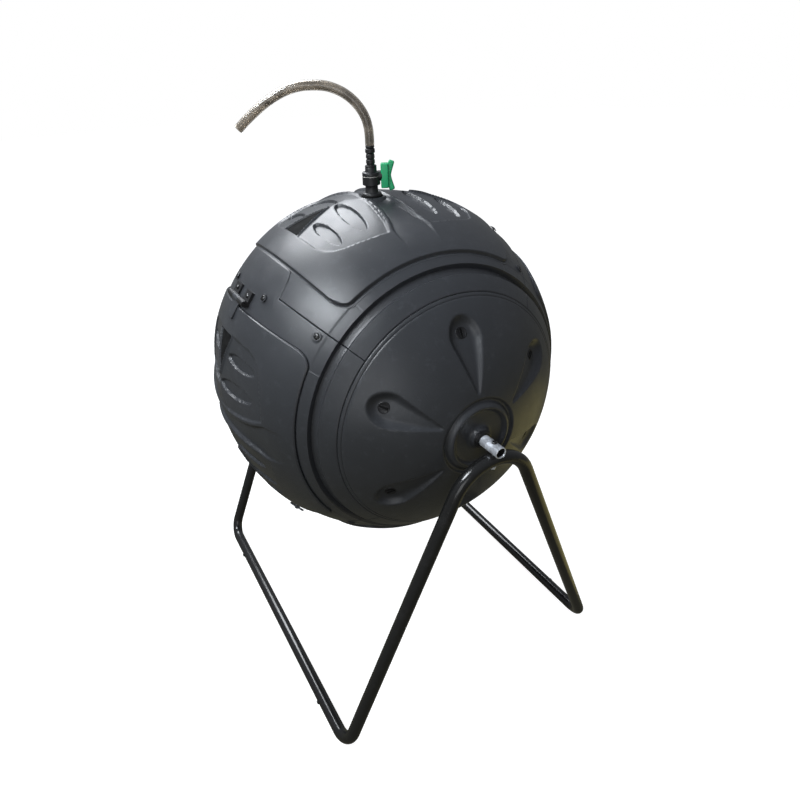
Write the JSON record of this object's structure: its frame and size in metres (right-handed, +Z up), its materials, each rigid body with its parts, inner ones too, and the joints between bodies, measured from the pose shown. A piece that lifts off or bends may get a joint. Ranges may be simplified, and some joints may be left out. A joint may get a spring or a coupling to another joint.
{
  "type": "compost tumbler",
  "caption": "Ball-shaped compost drum turning on a fixed axle between bent-tube end frames, with a hinged front door, a ball valve on top and a short clear hose.",
  "frame": {"origin": "on the ground, midway between the end frames, under the axle", "axes": "+X along the axle, -Y towards the door, +Z up"},
  "size_m": [0.808, 0.7127, 1.1836],
  "materials": {
    "drum_plastic": "fine-grained semi-gloss charcoal black moulded plastic",
    "black_paint": "gloss black powder coat",
    "zinc": "galvanised steel",
    "black_nylon": "satin black nylon",
    "rubber": "matt black rubber",
    "green_plastic": "semi-gloss green plastic",
    "clear_vinyl": "clear, slightly yellowed soft vinyl"
  },
  "bodies": {
    "stand": {"right_end_frame": "black_paint", "left_end_frame": "black_paint", "front_base_rail": "black_paint", "back_base_rail": "black_paint", "rail_screws": "black_paint", "axle": "zinc", "axle_bolts": "black_paint", "axle_nuts": "zinc", "thrust_washers": "black_nylon", "retaining_rings": "black_paint"},
    "drum": {"right_end_cap": "drum_plastic", "left_end_cap": "drum_plastic", "right_hub_bush": "black_nylon", "left_hub_bush": "black_nylon", "top_panel": "drum_plastic", "front_panel": "drum_plastic", "bottom_panel": "drum_plastic", "back_panel": "drum_plastic", "seam_screws": "black_paint", "vent_plugs": "black_nylon", "hinge_bracket": "black_nylon", "hinge_screws": "black_paint", "hinge_pin": "black_paint", "latch_screws": "black_paint", "valve_gasket": "rubber", "valve_flange": "black_nylon", "valve_backnut": "black_nylon", "valve_body": "black_nylon", "valve_barb": "black_nylon", "hose": "clear_vinyl"},
    "door": {"door": "drum_plastic"},
    "right_latch": {"door_latch_right": "drum_plastic"},
    "left_latch": {"door_latch_left": "drum_plastic"},
    "handle": {"valve_handle": "green_plastic", "valve_ball": "zinc"}
  },
  "joints": [
    {"name": "drum_turn", "type": "hinge", "parent": "stand", "child": "drum", "pos_m": [0, 0, 0.64], "axis": [1, 0, 0], "continuous": true},
    {"name": "door_hinge", "type": "hinge", "parent": "drum", "child": "door", "pos_m": [0, -0.2902, 0.85048], "axis": [-1, 0, 0], "range_deg": [0, 110]},
    {"name": "right_latch_turn", "type": "hinge", "parent": "drum", "child": "right_latch", "pos_m": [0.09128, -0.26439, 0.41815], "axis": [0.2557, -0.7406, -0.6214], "range_deg": [0, 90]},
    {"name": "left_latch_turn", "type": "hinge", "parent": "drum", "child": "left_latch", "pos_m": [-0.09128, -0.26439, 0.41815], "axis": [0.2557, 0.7406, 0.6214], "range_deg": [0, 90]},
    {"name": "valve_turn", "type": "hinge", "parent": "drum", "child": "handle", "pos_m": [0.02, -0.018, 1.0276], "axis": [0.5, 0.866, 0], "range_deg": [0, 90]}
  ]
}
